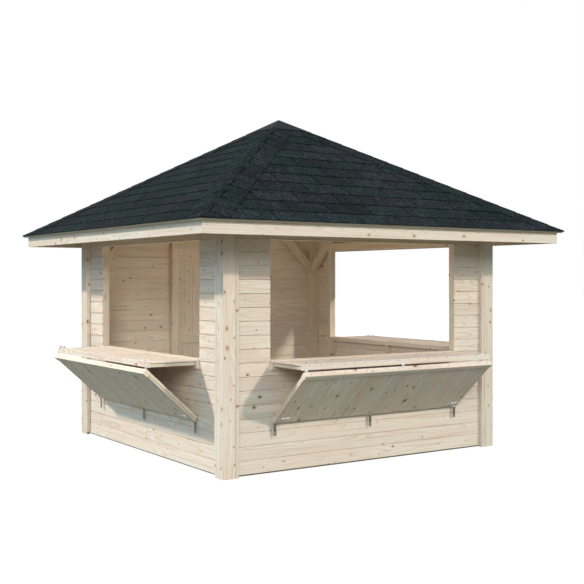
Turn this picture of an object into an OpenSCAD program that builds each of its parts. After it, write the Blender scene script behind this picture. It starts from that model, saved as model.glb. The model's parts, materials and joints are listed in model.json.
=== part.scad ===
// Square wooden market stall: boarded walls with three fold-down hatches,
// a boarded back door and a shingled pyramid roof.
// Origin: centre of the plan at ground level, +Z up, the front faces -Y.
// "Out" is the distance outwards from the outer face of the corner boards;
// "r" is the horizontal distance from the centre of the plan.

/* [Plan and heights] */
// Width and depth over the corner boards
plan_w = 3160; // [2500:10:4200]
// Height of the counters and window sills
sill_z = 985; // [800:5:1200]
// Underside of the window headers
header_z = 2045; // [1750:5:2500]
// Top of the wall plates
plate_top_z = 2400; // [2350:5:2950]
// Width of the three window openings
opening_w = 2170; // [1500:10:2400]

/* [Wall construction] */
// Depth of the cladding face behind the corner boards
clad_recess = 40; // [20:1:60]
// Thickness of the cladding boards
clad_t = 19; // [14:1:28]
// Depth of the wall frame behind the cladding
frame_d = 60; // [45:1:90]
// Face width of studs and rails
stud_w = 45; // [35:1:70]
// Height of the rails in the wall frames
rail_h = 60; // [40:1:90]
// Clear height of the cladding above the ground
clad_lift = 15; // [5:1:40]
// Height of the base beams
base_h = 45; // [35:1:70]
// Face width of a corner board
corner_w = 122; // [90:1:160]
// Face width of the strip beside a corner board
strip_w = 33; // [20:1:60]
// Side of the corner posts
post_w = 106; // [80:1:130]
// Height of the plates on top of the walls
plate_h = 95; // [70:1:140]
// Face width of the knee braces
brace_w = 95; // [60:1:120]
// Thickness of the knee braces
brace_t = 45; // [30:1:60]
// Run of a brace's lower edge down the post, below the plate top
brace_drop = 633; // [450:1:750]
// Distance of a brace's top end below the plate top
brace_top = 20; // [5:1:40]
// Thickness of the window sills
sill_t = 45; // [30:1:60]

/* [Hatches] */
// Width of the counters and their struts
hatch_w = 2150; // [1480:10:2380]
// Reach of the counters beyond the corner boards
counter_reach = 460; // [350:5:600]
// Total thickness of counters and struts
panel_t = 50; // [40:1:70]
// Thickness of the boards on counters and struts
panel_board_t = 18; // [12:1:24]
// Width of the edge rail along the folding edge
edge_rail_w = 32; // [24:1:50]
// Slope of the open struts below the horizontal
strut_slope = 42; // [35:1:60]
// Thickness of the ledgers that carry the counters
ledger_t = 30; // [26:1:40]
// Height of the ledgers
ledger_h = 81; // [60:1:110]
// Length of a ledger past each end of the counter
ledger_past = 12; // [0:1:20]
// Gap between counter and strut when they are in line
fold_gap = 10; // [8:1:14]
// Play between moving panels and their neighbours
play = 5; // [4:1:8]

/* [Hatch fittings] */
// Thickness of hinge leaves and brackets
leaf_t = 2; // [1.5:0.5:3]
// Width of a folding hinge
hinge_w = 26; // [24:1:60]
// Length of a hinge leaf on the panel edge
hinge_leaf = 20; // [16:1:40]
// Radius of the hinge knuckles
knuckle_r = 4; // [3:0.5:5]
// Length of a bar bracket
bracket_l = 100; // [80:1:120]
// Width of a bar bracket
bracket_w = 25; // [20:1:35]
// Height of a bar bracket's turned-up ends
bracket_h = 22; // [15:1:26]
// Distance of a bracket from the end of its panel
bracket_in = 40; // [38:1:80]
// Distance of a strut bracket from the strut's lower edge
bracket_up = 60; // [40:1:120]
// Width of a hasp strap
hasp_w = 28; // [22:1:30]
// Length of a hasp from its pivot to its tip
hasp_l = 102; // [80:1:125]
// Thickness of a hasp strap
hasp_t = 3; // [2:0.5:4]
// Radius of a hasp knuckle
hasp_r = 5; // [4:0.5:7]
// Distance of the outer hasps' middles from the strut's ends
hasp_in = 20; // [18:1:22]
// Distance of the hasps' fixed plates from the back of the strut
hasp_plate_up = 10; // [5:1:15]

/* [Door] */
// Width over the door frame
door_frame_w = 1042; // [850:2:1200]
// Top of the door frame
door_frame_top = 2054; // [1850:2:2250]
// Face width of the frame's side posts
door_post_w = 70; // [60:1:110]
// Height of the frame's head
door_head_h = 100; // [80:1:140]
// Amount the frame stands proud of the wall inside
door_proud = 5; // [0:1:15]
// Width of the side stop strips behind the leaf
door_stop_w = 12; // [8:1:20]
// Height of the stop strip under the frame's head
door_head_stop = 35; // [15:1:50]
// Thickness of the leaf's own frame
door_back_t = 26; // [20:1:40]
// Width of the leaf's stiles
door_stile_w = 74; // [50:1:110]
// Height of the leaf's top rail
door_top_rail_h = 88; // [60:1:120]
// Height of the middle and bottom rails
door_rail_h = 100; // [70:1:140]
// Underside of the middle rail
door_mid_z = 950; // [800:5:1100]
// Gap on the leaf's closing side
door_gap = 8; // [8:1:12]
// Radius of the door hinge barrels
barrel_r = 6; // [5:0.5:8]
// Height of a door hinge
barrel_l = 90; // [60:5:120]
// Width of a hinge's plate on the leaf and on the frame
hinge_plate_w = 40; // [30:1:50]
// Height of the lowest hinge above the leaf's lower edge
hinge_low = 150; // [80:5:300]
// Drop of the top hinge's lower end below the leaf's upper edge
hinge_high = 240; // [200:5:400]
// Height of the middle of the door handle
handle_z = 1010; // [900:5:1100]

/* [Roof] */
// Reach of the shingles beyond the corner boards
eave_out = 500; // [400:5:620]
// Reach of the roof boards beyond the corner boards
board_out = 492; // [380:1:600]
// Reach of the fascia's outer face
fascia_out = 447; // [350:1:560]
// Thickness of the fascia
fascia_t = 20; // [16:1:30]
// Drop of the fascia's lower edge below the shingle edge
fascia_drop = 124; // [100:1:160]
// Rise of the roof from the shingle edge to the apex
roof_rise = 1207; // [1100:1:1500]
// Thickness of the shingles
shingle_t = 8; // [5:1:12]
// Thickness of the roof boards
roof_board_t = 18; // [15:1:24]
// Width of the rafters
rafter_w = 45; // [35:1:60]
// Height of the rafters, measured plumb
rafter_h = 110; // [90:1:120]
// Spacing of the rafters
rafter_step = 450; // [350:10:600]
// Half width of the block that the rafters meet at
king_half = 60; // [50:1:90]
// Height of that block below the roof boards
king_h = 190; // [150:5:260]
// Half width of the metal cap on the apex
cap_half = 230; // [100:5:350]
// Thickness of the cap
cap_t = 3; // [2:0.5:5]

/* [Hidden] */

FRONT = 0;
RIGHT = 90;
BACK = 180;
LEFT = 270;

pale_wood = "#e6d3b8";
inner_wood = "#d9c3a2";
dark_wood = "#6b5b45";
shingle_grey = "#30363a";
steel = "#c9ccd0";
dark_steel = "#5b5a52";

seam = 0.5;                                  // open seam between neighbouring pieces of one node
bed = 0.02;                                  // hair gap that keeps sloping faces apart
past = 10;                                   // how far a cutting shape runs past what it cuts
half = plan_w / 2;                           // centre to the outer face of the corner boards
clad_face = -clad_recess;                    // cladding face, as a reach
clad_back = clad_face - clad_t;              // back of the cladding
inner_face = clad_back - frame_d;            // inner face of the wall frames
post_inner = clad_back - post_w;             // inner face of the corner posts
post_u = half + post_inner;                  // half the distance between two posts
opening_u = opening_w / 2;
plate_z = plate_top_z - plate_h;             // underside of the wall plates

slope = roof_rise / (half + eave_out);       // rise of the roof per unit of run
pitch = atan(slope);
rafter_foot = plate_top_z;                   // the rafters' seat on the wall plates
// Roof heights follow from the seat: the rafters' lower edge meets the plate's inner top edge.
rafter_top_inner = rafter_foot + rafter_h;
apex_z = rafter_top_inner + slope * (half + inner_face) + plumb(roof_board_t + shingle_t);
eave_z = apex_z - roof_rise;                 // shingle edge
fascia_z = eave_z - fascia_drop;
clad_top_z = board_under(half + clad_face) - rafter_h - play;
corner_top_z = board_under(half) - rafter_h - play;

counter_u = hatch_w / 2;
ledger_face = clad_face + ledger_t;
pivot_out = ledger_face + play;              // counter hinge line, as a reach
fold_out = counter_reach + fold_gap / 2;     // folding hinge line between counter and strut
fold_z = sill_z - panel_t - fold_gap / 2;
fold_angle = 180 - strut_slope;              // turn of the strut from open to in line
// The open strut stops where its lower inner edge is `play` short of the cladding.
strut_foot_out = clad_face + play;
strut_head_out = fold_out + fold_gap / 2 * (cos(fold_angle) + sin(fold_angle));
strut_l = (strut_head_out - strut_foot_out) / cos(strut_slope);

hinge_us = [-counter_u + hinge_w, 0, counter_u - hinge_w];
hasp_us = [-counter_u + hasp_in, 0, counter_u - hasp_in];
hasp_off = hasp_r + leaf_t + 1;              // hasp pivot beyond the strut's lower edge
hasp_sink = 1;                               // hasp pivot behind the strut's board face
// Hasp pivot with the strut open: the folded point turned about the folding hinge.
hasp_rel = [fold_gap / 2 + strut_l + hasp_off, sill_z - hasp_sink - fold_z];
hasp_out = fold_out + hasp_rel[0] * cos(fold_angle) + hasp_rel[1] * sin(fold_angle);
hasp_z = fold_z - hasp_rel[0] * sin(fold_angle) + hasp_rel[1] * cos(fold_angle);

door_in_u = door_frame_w / 2 - door_post_w;  // half the clear width of the door frame
door_hinge_gap = 6;                          // gap on the leaf's hinge side and above it
hinge_side_gap = 1;                          // gap between a hinge's barrel and the frame's plate
door_pivot_u = door_in_u - door_hinge_gap / 2;
door_pivot_out = clad_face + barrel_r;
leaf_u0 = -door_in_u + door_gap;
leaf_u1 = door_in_u - door_hinge_gap;
leaf_z0 = base_h + clad_lift;
door_head_z = door_frame_top - door_head_h;
leaf_z1 = door_head_z - door_hinge_gap;
leaf_back = clad_back - door_back_t;
door_hinge_zs = [leaf_z0 + hinge_low, (leaf_z0 + leaf_z1) / 2, leaf_z1 - hinge_high];

// ---- Roof heights -----------------------------------------------------

function plumb(t) = t / cos(pitch);
function roof_z(r) = apex_z - slope * r;
function board_top(r) = roof_z(r) - plumb(shingle_t) - bed;
function board_under(r) = board_top(r) - plumb(roof_board_t);
function timber_top(r) = board_under(r) - bed;

// ---- Placing helpers --------------------------------------------------

// Puts a wall drawn for the front on the side at the given turn.
module on_side(turn) rotate([0, 0, turn]) children();

// Block on the front wall: u along the wall, reach outwards, z up.
module block(u, reach, z) {
    translate([u[0], -half - reach[1], z[0]])
        cube([u[1] - u[0], reach[1] - reach[0], z[1] - z[0]]);
}

// The same block and its mirror image on the other half of the wall.
module block_pair(u, reach, z) {
    block(u, reach, z);
    mirror([1, 0, 0]) block(u, reach, z);
}

// Prism along the front wall from an outline of [y, z] points.
module run(points, u) {
    translate([u[0], 0, 0])
        rotate([90, 0, 90])
            linear_extrude(u[1] - u[0])
                polygon(points);
}

// The front quarter of the plan, between the two diagonals, set back by a gap.
module quarter(gap = 0) {
    far = half + eave_out + past;
    linear_extrude(apex_z + past)
        polygon([[0, -gap], [-far, -far - gap], [far, -far - gap]]);
}

// Turns a piece drawn with the strut in line with the counter into the open position.
module open_strut() {
    translate([0, -half - fold_out, fold_z])
        rotate([fold_angle, 0, 0])
            translate([0, half + fold_out, -fold_z])
                children();
}

// ---- Posts, corner boards and base ------------------------------------

module corner_posts() color(inner_wood)
    for (turn = [FRONT, RIGHT, BACK, LEFT])
        on_side(turn)
            block([-half - clad_back, -post_u], [post_inner, clad_back], [0, plate_z]);

// A corner board is an angle of two boards; a strip closes each side against the cladding.
module corner_angle() {
    difference() {
        block([-half, -half + corner_w], [-corner_w, 0], [0, corner_top_z]);
        block([-half - clad_face, 0], [-half, clad_face], [-past, corner_top_z + past]);
    }
    strip = [-half + corner_w + seam, -half + corner_w + strip_w];
    block(strip, [clad_face, 0], [0, corner_top_z]);
    mirror([1, -1, 0]) block(strip, [clad_face, 0], [0, corner_top_z]);
}

module corner_boards() color(pale_wood)
    for (turn = [FRONT, RIGHT, BACK, LEFT])
        on_side(turn) corner_angle();

module base_frame() color(dark_wood)
    for (turn = [FRONT, RIGHT, BACK, LEFT])
        on_side(turn)
            block([-post_u, post_u], [inner_face, clad_back], [0, base_h]);

// ---- Walls ------------------------------------------------------------

module low_wall() {
    top = sill_z - sill_t;
    block([-opening_u, opening_u], [clad_back, clad_face], [clad_lift, top]);
    frame = [inner_face, clad_back];
    block([-opening_u, opening_u], frame, [base_h, base_h + rail_h]);
    block([-stud_w / 2, stud_w / 2], frame, [base_h, top]);
    block_pair([opening_u - stud_w, opening_u], frame, [base_h, top]);
}

// Cladding and frame from an opening's edge to the corner, on one end of a wall.
// The door needs no jamb stud, because its frame carries the boards.
module side_panel(edge_u, has_stud) {
    frame = [inner_face, clad_back];
    intersection() {
        block([edge_u, half], [clad_back, clad_face], [clad_lift, clad_top_z]);
        quarter();
    }
    if (has_stud) block([edge_u, edge_u + stud_w], frame, [base_h, plate_z]);
    block([post_u - stud_w, post_u], frame, [base_h, plate_z]);
    block([edge_u, post_u], frame, [base_h, base_h + rail_h]);
}

module wall_sides(edge_u, has_stud) {
    side_panel(edge_u, has_stud);
    mirror([1, 0, 0]) side_panel(edge_u, has_stud);
}

module header(edge_u, z0) {
    block([-edge_u, edge_u], [clad_back, clad_face], [z0, clad_top_z]);
    block([-edge_u, edge_u], [inner_face, clad_back], [z0, z0 + plate_h]);
}

module window_sills() color(pale_wood)
    for (turn = [FRONT, RIGHT, LEFT])
        on_side(turn)
            block([-opening_u, opening_u], [inner_face, clad_face], [sill_z - sill_t, sill_z]);

module counter_ledgers() color(pale_wood)
    for (turn = [FRONT, RIGHT, LEFT])
        on_side(turn)
            block([-counter_u - ledger_past, counter_u + ledger_past],
                  [clad_face, ledger_face], [sill_z - ledger_h, sill_z]);

// ---- Top of the walls and roof ----------------------------------------

// A brace rises at 45 degrees from the post's side to the inner face of the wall plate.
module knee_brace() {
    foot_z = plate_top_z - brace_drop;
    top_z = plate_top_z - brace_top;
    rise = top_z - foot_z;
    thick = brace_w * sqrt(2);
    translate([0, -half - inner_face + brace_t, 0])
        rotate([90, 0, 0])
            linear_extrude(brace_t)
                polygon([
                    [post_u, foot_z],
                    [post_u, foot_z + thick],
                    [post_u - rise + thick, top_z],
                    [post_u - rise, top_z]
                ]);
}

module knee_braces() color(inner_wood)
    for (turn = [FRONT, RIGHT, BACK, LEFT])
        on_side(turn) {
            knee_brace();
            mirror([1, 0, 0]) knee_brace();
        }

// Front and back plates run through; the side plates butt between them.
module wall_plates() color(inner_wood) {
    reach = [inner_face, clad_back];
    for (turn = [FRONT, BACK])
        on_side(turn)
            block([-half - clad_back, half + clad_back], reach, [plate_z, plate_top_z]);
    for (turn = [RIGHT, LEFT])
        on_side(turn)
            block([-half - inner_face + seam, half + inner_face - seam], reach,
                  [plate_z, plate_top_z]);
}

// Everything under the roof boards: two crossed ridge prisms.
module under_boards() {
    far = half + eave_out;
    outline = [
        [-far, 0],
        [far, 0],
        [far, timber_top(far)],
        [0, timber_top(0)],
        [-far, timber_top(far)]
    ];
    intersection() {
        run(outline, [-far, far]);
        rotate([0, 0, 90]) run(outline, [-far, far]);
    }
}

module king_block() color(inner_wood)
    intersection() {
        translate([-king_half, -king_half, board_under(king_half) - king_h])
            cube([2 * king_half, 2 * king_half, king_h + slope * king_half]);
        under_boards();
    }

// Rafter band below the roof boards, seen from the side, from r0 out to r1.
function band(r0, r1) = [
    [-r0, timber_top(r0) - rafter_h],
    [-r0, timber_top(r0)],
    [-r1, timber_top(r1)],
    [-r1, timber_top(r1) - rafter_h]
];

module seats() {
    for (turn = [FRONT, RIGHT, BACK, LEFT])
        on_side(turn)
            block([-half, half], [inner_face, clad_back], [plate_z, plate_top_z]);
}

module hip_rafters() color(inner_wood)
    difference() {
        intersection() {
            for (turn = [45, 135, 225, 315])
                rotate([0, 0, turn])
                    run([for (p = band(0, half + fascia_out)) [p[0] * sqrt(2), p[1]]],
                        [-rafter_w / 2, rafter_w / 2]);
            under_boards();
            inner = half + fascia_out - fascia_t;
            translate([-inner, -inner, 0]) cube([2 * inner, 2 * inner, apex_z]);
        }
        seats();
        translate([-king_half, -king_half, 0]) cube([2 * king_half, 2 * king_half, apex_z]);
    }

module rafters() color(inner_wood) {
    far = half + fascia_out - fascia_t;
    count = floor((far - 2 * rafter_w) / rafter_step);
    for (turn = [FRONT, RIGHT, BACK, LEFT])
        on_side(turn)
            difference() {
                intersection() {
                    for (i = [-count:count])
                        translate([i * rafter_step, 0, 0])
                            run(band(king_half, far), [-rafter_w / 2, rafter_w / 2]);
                    quarter(rafter_w / sqrt(2));
                }
                block([-half, half], [inner_face, clad_back], [plate_z, plate_top_z]);
            }
}

module roof_boards() color(inner_wood)
    intersection() {
        edge = half + board_out;
        run([
            [0, board_under(0)],
            [0, board_top(0)],
            [-edge, board_top(edge)],
            [-edge, board_under(edge)]
        ], [-edge, edge]);
        quarter();
    }

// A shell of the given thickness that lies on the roof surface under it.
module roof_skin(r1, lift, thick) {
    for (turn = [FRONT, RIGHT, BACK, LEFT])
        on_side(turn)
            intersection() {
                run([
                    [0, roof_z(0) + lift],
                    [0, roof_z(0) + lift + thick],
                    [-r1, roof_z(r1) + lift + thick],
                    [-r1, roof_z(r1) + lift]
                ], [-r1, r1]);
                quarter();
            }
}

module roof_shingles() color(shingle_grey)
    roof_skin(half + eave_out, -plumb(shingle_t), plumb(shingle_t));

module apex_cap() color(dark_steel)
    roof_skin(cap_half, bed, plumb(cap_t));

module fascia_boards() color(pale_wood) {
    outer = half + fascia_out;
    inner = outer - fascia_t;
    for (turn = [FRONT, RIGHT, BACK, LEFT])
        on_side(turn)
            intersection() {
                run([
                    [-inner, fascia_z],
                    [-inner, timber_top(inner)],
                    [-outer, timber_top(outer)],
                    [-outer, fascia_z]
                ], [-outer, outer]);
                quarter(seam);
            }
}

// ---- Door -------------------------------------------------------------

module door_frame() color(pale_wood) {
    u = [door_in_u, door_frame_w / 2];
    reach = [inner_face - door_proud, clad_face];
    stop_reach = [inner_face - door_proud, leaf_back - play];
    block_pair(u, reach, [base_h, door_frame_top]);
    block([-door_frame_w / 2, door_frame_w / 2], reach, [door_head_z, door_frame_top]);
    block_pair([door_in_u - door_stop_w, door_in_u], stop_reach, [base_h, door_frame_top]);
    block([-door_in_u, door_in_u], stop_reach, [door_head_z - door_head_stop, door_head_z]);
}

module door_leaf() color(pale_wood) {
    back = [leaf_back, clad_back];
    block([leaf_u0, leaf_u1], [clad_back, clad_face], [leaf_z0, leaf_z1]);
    block([leaf_u0, leaf_u0 + door_stile_w], back, [leaf_z0, leaf_z1]);
    block([leaf_u1 - door_stile_w, leaf_u1], back, [leaf_z0, leaf_z1]);
    block([leaf_u0, leaf_u1], back, [leaf_z1 - door_top_rail_h, leaf_z1]);
    block([leaf_u0, leaf_u1], back, [door_mid_z, door_mid_z + door_rail_h]);
    block([leaf_u0, leaf_u1], back, [leaf_z0, leaf_z0 + door_rail_h]);
}

module door_hinges() color(steel)
    for (z = door_hinge_zs) {
        translate([door_pivot_u, -half - door_pivot_out, z])
            cylinder(h = barrel_l, r = barrel_r, $fn = 32);
        block([door_pivot_u - barrel_r - hinge_plate_w, door_pivot_u - barrel_r / 2],
              [clad_face, clad_face + leaf_t], [z, z + barrel_l]);
    }

module door_hinge_plates() color(steel) {
    u0 = door_pivot_u + barrel_r + hinge_side_gap;
    for (z = door_hinge_zs)
        block([u0, u0 + hinge_plate_w], [clad_face, clad_face + leaf_t], [z, z + barrel_l]);
}

// A bow handle on a long plate, on each face of the leaf near its closing edge.
module bow_handle() {
    plate_w = 36;
    plate_h = 170;
    bow_r = 6;
    bow_out = 42;
    bow_half = 55;
    translate([-plate_w / 2, -leaf_t, -plate_h / 2]) cube([plate_w, leaf_t, plate_h]);
    for (z = [-bow_half, bow_half])
        translate([0, -leaf_t, z])
            rotate([90, 0, 0]) cylinder(h = bow_out, r = bow_r, $fn = 32);
    translate([0, -leaf_t - bow_out, -bow_half - bow_r])
        cylinder(h = 2 * (bow_half + bow_r), r = bow_r, $fn = 32);
}

module door_handle() color(dark_steel) {
    u = leaf_u0 + door_stile_w / 2;
    translate([u, -half - clad_face, handle_z]) bow_handle();
    translate([u, -half - leaf_back, handle_z]) mirror([0, 1, 0]) bow_handle();
}

// ---- Hatches ----------------------------------------------------------

// A hatch panel lying level: boards on top, a frame under them and a full-depth
// rail along the folding edge, which is at the inner or the outer end.
module hatch_panel(out0, out1, rail_outside) {
    u = [-counter_u, counter_u];
    rail = rail_outside ? [out1 - edge_rail_w, out1] : [out0, out0 + edge_rail_w];
    far = rail_outside ? [out0, out0 + stud_w] : [out1 - stud_w, out1];
    boards_z = [sill_z - panel_board_t, sill_z];
    frame_z = [sill_z - panel_t, sill_z - panel_board_t];
    block(u, [out0, out1], boards_z);
    block(u, rail, frame_z);
    block(u, far, frame_z);
    block([-stud_w / 2, stud_w / 2], [out0, out1], frame_z);
    block_pair([counter_u - stud_w, counter_u], [out0, out1], frame_z);
}

module counter() color(pale_wood)
    hatch_panel(pivot_out, counter_reach, true);

module strut() color(pale_wood) {
    head = counter_reach + fold_gap;
    open_strut() hatch_panel(head, head + strut_l, false);
}

// Leaf on the counter's edge with the two outer knuckles.
module counter_hinge_leaf() {
    knuckle = hinge_w / 3;
    block([-hinge_w / 2, hinge_w / 2], [counter_reach, counter_reach + leaf_t],
          [fold_z + fold_gap / 2, fold_z + hinge_leaf]);
    for (u = [-hinge_w / 2, hinge_w / 2 - knuckle + seam]) {
        block([u, u + knuckle - seam], [counter_reach, counter_reach + leaf_t],
              [fold_z, fold_z + hinge_leaf]);
        translate([u, -half - fold_out, fold_z])
            rotate([0, 90, 0]) cylinder(h = knuckle - seam, r = knuckle_r, $fn = 32);
    }
}

// Leaf on the strut's edge with the middle knuckle, drawn in line with the counter.
module strut_hinge_leaf() {
    knuckle = hinge_w / 3;
    head = counter_reach + fold_gap;
    block([-hinge_w / 2, hinge_w / 2], [head - leaf_t, head],
          [fold_z + fold_gap / 2, fold_z + hinge_leaf]);
    block([-knuckle / 2 + seam, knuckle / 2 - seam], [head - leaf_t, head],
          [fold_z, fold_z + hinge_leaf]);
    translate([-knuckle / 2 + seam, -half - fold_out, fold_z])
        rotate([0, 90, 0]) cylinder(h = knuckle - 2 * seam, r = knuckle_r, $fn = 32);
}

// A flat bar along the hinge line with both ends turned up.
module bar_bracket(out0) {
    reach = [out0, out0 + bracket_w];
    u = [counter_u - bracket_in - bracket_l, counter_u - bracket_in];
    block_pair(u, reach, [sill_z, sill_z + leaf_t]);
    block_pair([u[0], u[0] + leaf_t], reach, [sill_z, sill_z + bracket_h]);
    block_pair([u[1] - leaf_t, u[1]], reach, [sill_z, sill_z + bracket_h]);
}

module counter_fittings() color(steel) {
    for (u = hinge_us) translate([u, 0, 0]) counter_hinge_leaf();
    bar_bracket(counter_reach - bracket_w - play);
}

// The strut's side of the folding hinges, its bar brackets and the hasps' fixed plates.
module strut_fittings() color(steel)
    open_strut() {
        foot = counter_reach + fold_gap + strut_l;
        for (u = hinge_us) translate([u, 0, 0]) strut_hinge_leaf();
        bar_bracket(foot - bracket_up - bracket_w);
        for (u = hasp_us)
            block([u - hasp_w / 2, u + hasp_w / 2], [foot + bed, foot + leaf_t],
                  [sill_z - panel_t + hasp_plate_up, sill_z - hasp_sink]);
    }

// A hasp's strap in outline, hanging from the origin: a round tip and a long hole above it.
module hasp_strap() {
    tip_r = hasp_w / 2;
    hole_r = hasp_w / 6;
    hole_z = tip_r + hole_r / 2;
    difference() {
        union() {
            translate([-tip_r, -hasp_l + tip_r]) square([hasp_w, hasp_l - tip_r]);
            translate([0, -hasp_l + tip_r]) circle(r = tip_r, $fn = 48);
        }
        for (z = [hole_z, hole_z + tip_r])
            translate([0, -hasp_l + z]) circle(r = hole_r, $fn = 32);
        translate([-hole_r, -hasp_l + hole_z]) square([2 * hole_r, tip_r]);
    }
}

// One hasp hanging from its pivot at the origin.
module hasp() {
    rotate([0, 90, 0])
        translate([0, 0, -hasp_w / 2]) cylinder(h = hasp_w, r = hasp_r, $fn = 32);
    translate([0, hasp_r, 0])
        rotate([90, 0, 0])
            linear_extrude(hasp_t) hasp_strap();
}

module hasps() color(dark_steel)
    for (u = hasp_us)
        translate([u, -half - hasp_out, hasp_z]) hasp();

// ---- Nodes ------------------------------------------------------------

corner_posts();
corner_boards();
base_frame();
window_sills();
counter_ledgers();
color(pale_wood) on_side(FRONT) low_wall();  // front_low_wall
color(pale_wood) on_side(LEFT) low_wall();  // left_low_wall
color(pale_wood) on_side(RIGHT) low_wall();  // right_low_wall
color(pale_wood) on_side(FRONT) wall_sides(opening_u, true);  // front_wall_sides
color(pale_wood) on_side(LEFT) wall_sides(opening_u, true);  // left_wall_sides
color(pale_wood) on_side(RIGHT) wall_sides(opening_u, true);  // right_wall_sides
color(pale_wood) on_side(BACK) wall_sides(door_frame_w / 2, false);  // back_wall_sides
color(pale_wood) on_side(FRONT) header(opening_u, header_z);  // front_header
color(pale_wood) on_side(LEFT) header(opening_u, header_z);  // left_header
color(pale_wood) on_side(RIGHT) header(opening_u, header_z);  // right_header
color(pale_wood) on_side(BACK) header(door_frame_w / 2, door_frame_top);  // back_header
knee_braces();
wall_plates();
hip_rafters();
rafters();
king_block();
on_side(FRONT) roof_boards();  // roof_boards_front
on_side(RIGHT) roof_boards();  // roof_boards_right
on_side(BACK) roof_boards();  // roof_boards_back
on_side(LEFT) roof_boards();  // roof_boards_left
roof_shingles();
fascia_boards();
apex_cap();
on_side(BACK) door_frame();
on_side(BACK) door_leaf();
on_side(BACK) door_hinges();
on_side(BACK) door_hinge_plates();
on_side(BACK) door_handle();
on_side(FRONT) counter();  // front_counter
on_side(LEFT) counter();  // left_counter
on_side(RIGHT) counter();  // right_counter
on_side(FRONT) strut();  // front_strut
on_side(LEFT) strut();  // left_strut
on_side(RIGHT) strut();  // right_strut
on_side(FRONT) counter_fittings();  // front_counter_fittings
on_side(LEFT) counter_fittings();  // left_counter_fittings
on_side(RIGHT) counter_fittings();  // right_counter_fittings
on_side(FRONT) strut_fittings();  // front_strut_fittings
on_side(LEFT) strut_fittings();  // left_strut_fittings
on_side(RIGHT) strut_fittings();  // right_strut_fittings
on_side(FRONT) hasps();  // front_hasps
on_side(LEFT) hasps();  // left_hasps
on_side(RIGHT) hasps();  // right_hasps
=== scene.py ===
"""Looks of a wooden market stall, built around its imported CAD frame.

Row frame, in metres: the origin is the centre of the plan on the ground, +Z is up and the front
faces -Y. A wall is drawn in its own coordinates and then turned to its side: u runs along the
wall, r is the distance outwards from the corner boards' outer face, and z is up.
"""

import json
import math
import random

import bmesh
import bpy
import numpy as np
from mathutils import Matrix, Vector


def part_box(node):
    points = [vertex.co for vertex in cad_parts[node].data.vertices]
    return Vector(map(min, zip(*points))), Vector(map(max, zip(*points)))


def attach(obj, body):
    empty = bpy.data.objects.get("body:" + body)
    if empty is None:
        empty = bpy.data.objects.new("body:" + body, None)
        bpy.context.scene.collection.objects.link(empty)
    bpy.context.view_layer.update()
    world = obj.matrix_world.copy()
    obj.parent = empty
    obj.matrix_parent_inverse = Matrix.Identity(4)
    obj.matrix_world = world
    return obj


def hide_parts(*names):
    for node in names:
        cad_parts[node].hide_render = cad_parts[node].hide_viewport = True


TURNS = {"front": 0, "right": 90, "back": 180, "left": 270}
HATCHES = ("front", "left", "right")
SEED = 11
NEAR = 0.001                          # heights and reaches this close count as one

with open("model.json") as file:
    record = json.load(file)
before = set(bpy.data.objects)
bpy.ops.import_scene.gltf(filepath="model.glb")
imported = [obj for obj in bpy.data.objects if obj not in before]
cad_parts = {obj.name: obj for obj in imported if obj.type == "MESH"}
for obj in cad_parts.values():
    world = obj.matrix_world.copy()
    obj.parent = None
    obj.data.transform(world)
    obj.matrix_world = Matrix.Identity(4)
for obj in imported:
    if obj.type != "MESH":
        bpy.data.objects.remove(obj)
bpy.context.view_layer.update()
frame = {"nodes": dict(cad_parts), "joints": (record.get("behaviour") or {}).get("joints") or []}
joints = {j["name"]: j for j in frame["joints"]}
rng = random.Random(SEED)


# ---- Sizes read from the frame --------------------------------------------

def low(node):
    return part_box(node)[0]


def high(node):
    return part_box(node)[1]


HALF = high("corner_boards").x
CLAD_FACE = -low("front_low_wall").y - HALF
CLAD_BACK = high("wall_plates").x - HALF
WALL_IN = -high("front_low_wall").y - HALF
CLAD_Z0 = low("front_low_wall").z
CLAD_Z1 = high("front_header").z
CORNER_Z1 = high("corner_boards").z
BASE_H = high("base_frame").z
SILL_Z0 = low("window_sills").z
HEADER_Z = low("front_header").z
OPENING_U = high("front_header").x
POST_U = high("knee_braces").x
PLATE_Z0 = low("wall_plates").z

COUNTER_U = high("front_counter").x
COUNTER_IN = -high("front_counter").y - HALF
COUNTER_OUT = -low("front_counter").y - HALF
PANEL_Z0, PANEL_Z1 = low("front_counter").z, high("front_counter").z
FOLD_R = -joints["front_strut_fold"]["pos_m"][1] - HALF
FOLD_Z = joints["front_strut_fold"]["pos_m"][2]
FOLD = math.radians(joints["front_strut_fold"]["range_deg"][1])

ROOF_R = high("roof_shingles").x
BOARD_R = high("roof_boards_right").x
EAVE_Z = max(v.co.z for v in frame["nodes"]["roof_shingles"].data.vertices
             if v.co.x > ROOF_R - NEAR)
APEX_Z = high("roof_shingles").z
SLOPE = math.atan2(APEX_Z - EAVE_Z, ROOF_R)
CAP_R = high("apex_cap").x

# ---- Sizes of what only the looks need -------------------------------------

SEAM, CORNER_SEAM = 0.0015, 0.0035    # joint between two boards, and beside a corner board
TOUCH = 0.0002                        # air between two pieces that would only touch
CHAMFER, PANEL_CHAMFER = 0.002, 0.0018
RAIL_CHAMFER, CORNER_CHAMFER = 0.0025, 0.003
THIN = 3                              # a chamfer takes at most 1 / THIN of a board's side
TIMBER_BEVEL, COAT_BEVEL = 0.002, 0.001
HINGE_BEVEL, BRACKET_BEVEL = 0.0004, 0.0003
BEVEL_SEGMENTS, WELD = 2, 1e-5
SAME_DIGITS = 5                       # corners that agree to these decimals are one corner

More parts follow.
